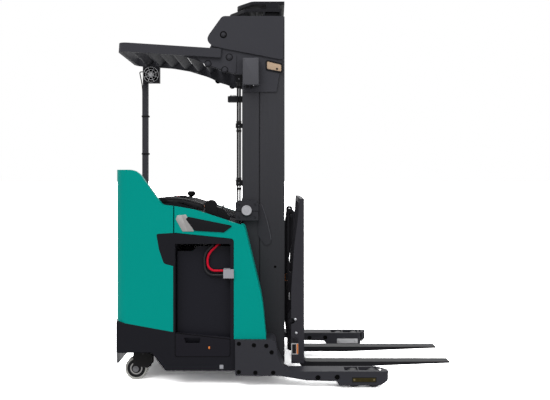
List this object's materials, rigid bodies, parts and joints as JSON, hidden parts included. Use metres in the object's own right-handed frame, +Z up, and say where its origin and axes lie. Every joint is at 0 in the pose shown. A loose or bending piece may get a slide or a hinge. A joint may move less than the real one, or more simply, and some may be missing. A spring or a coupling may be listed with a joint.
{
  "type": "stand-up reach truck",
  "caption": "Stand-up electric reach truck with a three-stage mast, scissor reach carriage, straddle legs, rear operator compartment and overhead guard.",
  "frame": {"origin": "on the floor, midway between the rearmost point and the fork tips, on the truck's centreline", "axes": "+X the way the forks point, +Y to the truck's left, +Z up"},
  "size_m": [2.4, 1.27, 2.7],
  "materials": {
    "panel_green": "satin teal-green body paint with a fine orange peel",
    "dark_frame": "satin dark grey powder coat on welded steel",
    "mast_steel": "dark grey mill paint, worn bright where rollers run",
    "carriage_steel": "black satin paint on plate",
    "fork_steel": "black fork paint, scuffed along the blade",
    "bumper_steel": "bare rolled steel plate",
    "chrome_rod": "hard chrome, polished",
    "cylinder_paint": "gloss black cylinder paint",
    "battery_case": "dark grey battery steel",
    "dash_plastic": "grained black moulded plastic",
    "hood_plastic": "textured grey moulding",
    "grip_plastic": "smooth black moulded grip",
    "mat_rubber": "ribbed black rubber",
    "pad_vinyl": "black grained vinyl over foam",
    "poly_tyre": "pale polyurethane tread on a cast hub",
    "drive_tyre": "black rubber-faced drive tyre",
    "gear_iron": "painted cast iron",
    "box_grey": "light grey moulded box",
    "clamp_grey": "cast clamp blocks with a turned cover disc",
    "plug_grey": "light grey moulded connector",
    "fan_plastic": "black moulded fan",
    "lead_red": "red welding-cable jacket",
    "lead_black": "black hose and cable jacket"
  },
  "bodies": {
    "truck": {"main_frame": "dark_frame", "rear_bumper": "bumper_steel", "right_rear_panel": "panel_green", "drive_cover": "panel_green", "front_panels": "panel_green", "bay_trims": "dark_frame", "battery_gates": "dark_frame", "battery": "battery_case", "hood": "hood_plastic", "console": "dash_plastic", "floor_mat": "mat_rubber", "operator_pads": "pad_vinyl", "drive_motor": "gear_iron", "base_legs": "dark_frame", "outer_mast": "mast_steel", "lift_cylinders": "cylinder_paint", "overhead_guard": "dark_frame", "mast_head_plates": "dark_frame", "fan_housing": "fan_plastic", "mast_clamps": "clamp_grey", "mast_electrics": "box_grey", "control_handle": "grip_plastic", "battery_connector": "plug_grey", "battery_lead_red": "lead_red", "battery_lead_black": "lead_black", "mast_hoses": "lead_black", "fan_cable": "lead_black"},
    "right_rear_load_wheel": {"right_rear_load_wheel": "poly_tyre"},
    "right_front_load_wheel": {"right_front_load_wheel": "poly_tyre"},
    "left_rear_load_wheel": {"left_rear_load_wheel": "poly_tyre"},
    "left_front_load_wheel": {"left_front_load_wheel": "poly_tyre"},
    "caster_fork": {"caster_fork": "gear_iron"},
    "caster_wheel": {"caster_wheel": "poly_tyre"},
    "steer_gear_case": {"steer_gear_case": "gear_iron"},
    "drive_wheel": {"drive_wheel": "drive_tyre"},
    "steering_tiller": {"steering_tiller": "grip_plastic"},
    "fan_rotor": {"fan_rotor": "fan_plastic"},
    "middle_stage": {"middle_mast": "mast_steel", "lift_rods": "chrome_rod"},
    "inner_stage": {"inner_mast": "mast_steel", "free_lift_cylinder": "cylinder_paint"},
    "free_lift_rod": {"free_lift_rod": "chrome_rod"},
    "mast_carriage": {"mast_carriage": "carriage_steel"},
    "inner_arms": {"inner_scissor_arms": "carriage_steel"},
    "outer_arms": {"outer_scissor_arms": "carriage_steel"},
    "reach_head": {"reach_head": "carriage_steel"},
    "reach_barrel": {"reach_cylinder": "cylinder_paint"},
    "reach_rod": {"reach_rod": "chrome_rod"},
    "tilt_shafts": {"tilt_shafts": "chrome_rod"},
    "fork_carriage": {"fork_carriage": "carriage_steel", "load_backrest": "fork_steel", "forks": "fork_steel"}
  },
  "joints": [
    {"name": "right_rear_load_wheel_spin", "type": "hinge", "parent": "truck", "child": "right_rear_load_wheel", "pos_m": [0.458, -0.5625, 0.057], "axis": [0, 1, 0], "continuous": true},
    {"name": "right_front_load_wheel_spin", "type": "hinge", "parent": "truck", "child": "right_front_load_wheel", "pos_m": [0.592, -0.5625, 0.057], "axis": [0, 1, 0], "continuous": true},
    {"name": "left_rear_load_wheel_spin", "type": "hinge", "parent": "truck", "child": "left_rear_load_wheel", "pos_m": [0.458, 0.5625, 0.057], "axis": [0, 1, 0], "continuous": true},
    {"name": "left_front_load_wheel_spin", "type": "hinge", "parent": "truck", "child": "left_front_load_wheel", "pos_m": [0.592, 0.5625, 0.057], "axis": [0, 1, 0], "continuous": true},
    {"name": "caster_swivel", "type": "hinge", "parent": "truck", "child": "caster_fork", "pos_m": [-1.015, -0.395, 0.2], "axis": [0, 0, 1], "continuous": true},
    {"name": "caster_spin", "type": "hinge", "parent": "caster_fork", "child": "caster_wheel", "pos_m": [-1.065, -0.395, 0.08], "axis": [0, 1, 0], "continuous": true},
    {"name": "drive_steer", "type": "hinge", "parent": "truck", "child": "steer_gear_case", "pos_m": [-0.972, 0.37, 0.3], "axis": [0, 0, 1], "range_deg": [-90, 90]},
    {"name": "drive_spin", "type": "hinge", "parent": "steer_gear_case", "child": "drive_wheel", "pos_m": [-0.972, 0.37, 0.165], "axis": [0, 1, 0], "continuous": true},
    {"name": "tiller_turn", "type": "hinge", "parent": "truck", "child": "steering_tiller", "pos_m": [-0.8553, 0.25, 1.26], "axis": [0, 0, 1], "range_deg": [-180, 180]},
    {"name": "fan_spin", "type": "hinge", "parent": "truck", "child": "fan_rotor", "pos_m": [-1.062, 0.161, 2.246], "axis": [0, 1, 0], "continuous": true},
    {"name": "mast_lift", "type": "slide", "parent": "truck", "child": "middle_stage", "axis": [0, 0, 1], "range_m": [0, 2]},
    {"name": "inner_lift", "type": "slide", "parent": "middle_stage", "child": "inner_stage", "axis": [0, 0, 1], "range_m": [0, 2]},
    {"name": "carriage_lift", "type": "slide", "parent": "inner_stage", "child": "mast_carriage", "axis": [0, 0, 1], "range_m": [0, 1.35]},
    {"name": "free_lift_stroke", "type": "slide", "parent": "inner_stage", "child": "free_lift_rod", "axis": [0, 0, 1], "range_m": [0, 0.675]},
    {"name": "reach", "type": "hinge", "parent": "mast_carriage", "child": "inner_arms", "pos_m": [-0.085, 0, 0.26], "axis": [0, 1, 0], "range_deg": [0, 45.51]},
    {"name": "reach_cross", "type": "hinge", "parent": "inner_arms", "child": "outer_arms", "pos_m": [-0.0245, 0, 0.70591], "axis": [0, 1, 0], "range_deg": [-91.02, 0]},
    {"name": "reach_level", "type": "hinge", "parent": "outer_arms", "child": "reach_head", "pos_m": [0.036, 0, 0.26], "axis": [0, 1, 0], "range_deg": [0, 45.51]},
    {"name": "reach_barrel_swing", "type": "hinge", "parent": "mast_carriage", "child": "reach_barrel", "pos_m": [-0.076, 0, 1.16], "axis": [0, 1, 0], "range_deg": [-9.29, 0]},
    {"name": "reach_stroke", "type": "slide", "parent": "reach_barrel", "child": "reach_rod", "axis": [0.0604, 0, -0.9982], "range_m": [0, 0.104]},
    {"name": "fork_tilt", "type": "hinge", "parent": "reach_head", "child": "tilt_shafts", "pos_m": [0.036, 0, 0.42], "axis": [0, -1, 0], "range_deg": [-2.5, 3]},
    {"name": "side_shift", "type": "slide", "parent": "tilt_shafts", "child": "fork_carriage", "axis": [0, 1, 0], "range_m": [-0.05, 0.05]}
  ],
  "couplings": [
    {"joint": "tiller_turn", "follows": "drive_steer", "ratio": 2},
    {"joint": "inner_lift", "follows": "mast_lift", "ratio": 1},
    {"joint": "free_lift_stroke", "follows": "carriage_lift", "ratio": 0.5},
    {"joint": "reach_cross", "follows": "reach", "ratio": -2},
    {"joint": "reach_level", "follows": "reach", "ratio": 1},
    {"joint": "reach_barrel_swing", "follows": "reach", "ratio": -0.1975},
    {"joint": "reach_stroke", "follows": "reach", "m_per_rad": 0.128}
  ]
}
